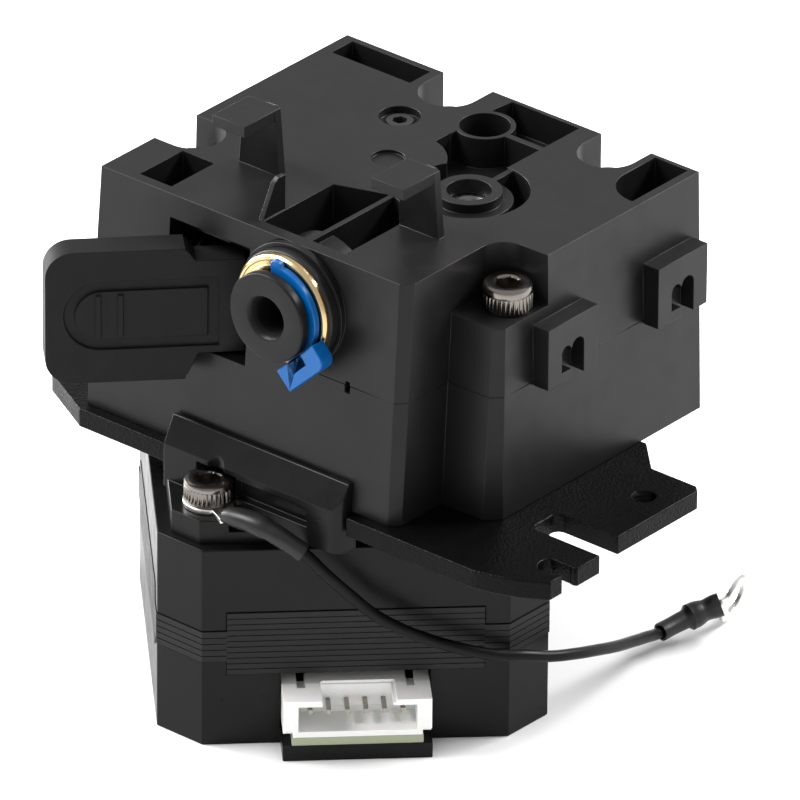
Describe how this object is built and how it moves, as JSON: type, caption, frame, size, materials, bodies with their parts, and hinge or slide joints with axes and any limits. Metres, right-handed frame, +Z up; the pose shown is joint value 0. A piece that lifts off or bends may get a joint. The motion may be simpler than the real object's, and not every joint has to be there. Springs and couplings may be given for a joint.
{
  "type": "geared filament extruder",
  "caption": "Direct-drive filament extruder: geared hob drive in a black housing on a square motor, with a release lever, quick-release tube coupler and ground lead.",
  "frame": {"origin": "motor axis at the motor's rear face", "axes": "+Z up along the motor shaft from the rear face, -Y towards the tube coupler and the release lever, +X to the right seen from the coupler"},
  "size_m": [0.0711, 0.0662, 0.0665],
  "materials": {
    "housing_black": "satin black moulded plastic with bright edges",
    "lever_black": "fine matte black moulded plastic",
    "plate_black": "fine-textured black powder coat on steel",
    "motor_black": "satin black painted die casting",
    "stack_black": "black painted laminated steel stack",
    "screw_nickel": "dark nickel plated steel, knurled heads",
    "ring_nickel": "bright tin plated terminal",
    "steel": "ground steel",
    "black_steel": "black oxide steel",
    "pin_metal": "tin plated contact in shade",
    "copper": "enamelled copper wire",
    "brass": "turned brass",
    "connector_white": "ivory white moulded nylon",
    "board_green": "bare board edge, yellow green",
    "gear_white": "natural acetal",
    "collet_black": "smooth black acetal",
    "clip_blue": "bright blue moulded plastic",
    "wire_black": "black soft wire insulation",
    "sleeve_black": "black heat-shrink tube",
    "seal_black": "black rubber"
  },
  "bodies": {
    "housing": {"motor_rear_bell": "motor_black", "motor_stator": "stack_black", "motor_windings": "copper", "motor_front_bell": "motor_black", "motor_case_screws": "screw_nickel", "motor_rear_bearing": "steel", "motor_front_bearing": "steel", "connector_housing": "connector_white", "connector_pins": "pin_metal", "connector_board": "board_green", "motor_flange": "motor_black", "flange_screws": "screw_nickel", "mounting_plate": "plate_black", "lower_housing": "housing_black", "upper_housing": "housing_black", "housing_screws": "screw_nickel", "shaft_lower_bearing": "steel", "shaft_upper_bearing": "steel", "idler_pivot_pin": "black_steel", "idler_spring": "steel", "filament_inlet_guide": "brass", "filament_outlet_guide": "brass", "coupler_ring": "seal_black", "coupler_body": "brass", "coupler_seal": "seal_black", "collet_clip": "clip_blue", "ground_screw": "screw_nickel", "ground_ring": "ring_nickel", "ground_sleeve": "sleeve_black", "ground_wire": "wire_black", "free_sleeve": "sleeve_black", "free_ring": "ring_nickel"},
    "release_lever": {"idler_arm": "lever_black", "idler_axle": "steel"},
    "idler_sleeve": {"idler_bushing": "brass"},
    "idler": {"idler_gear": "steel"},
    "drive": {"drive_shaft": "steel", "drive_gear": "steel", "reduction_gear": "gear_white"},
    "motor_spindle": {"motor_rotor": "steel", "motor_shaft": "steel", "motor_pinion": "steel"},
    "tube_collet": {"collet": "collet_black"}
  },
  "joints": [
    {"name": "release_lever_hinge", "type": "hinge", "parent": "housing", "child": "release_lever", "pos_m": [-0.0032, 0.0129, 0.05], "axis": [0, 0, 1], "range_deg": [-4, 0], "stiffness_Nm_per_rad": 0.9, "springref_deg": 14.32, "deforming": ["idler_spring"]},
    {"name": "idler_roll", "type": "hinge", "parent": "release_lever", "child": "idler_sleeve", "pos_m": [0.002, 0.00456, 0.05], "axis": [0, 0, 1], "range_deg": [0, 8]},
    {"name": "idler_spin", "type": "hinge", "parent": "idler_sleeve", "child": "idler", "pos_m": [0.002, 0.00456, 0.05], "axis": [0, 0, 1], "continuous": true},
    {"name": "drive_spin", "type": "hinge", "parent": "housing", "child": "drive", "pos_m": [0.0135, 0.00456, 0.05], "axis": [0, 0, 1], "continuous": true},
    {"name": "motor_spin", "type": "hinge", "parent": "housing", "child": "motor_spindle", "pos_m": [0, 0, 0.03], "axis": [0, 0, 1], "continuous": true},
    {"name": "collet_slide", "type": "slide", "parent": "housing", "child": "tube_collet", "axis": [0, 1, 0], "range_m": [0, 0.0003], "stiffness_N_per_m": 400, "springref_m": -0.001}
  ],
  "couplings": [
    {"joint": "idler_spin", "follows": "drive_spin", "ratio": -1},
    {"joint": "idler_roll", "follows": "release_lever_hinge", "ratio": -1.9043},
    {"joint": "motor_spin", "follows": "drive_spin", "ratio": -3.3846}
  ]
}
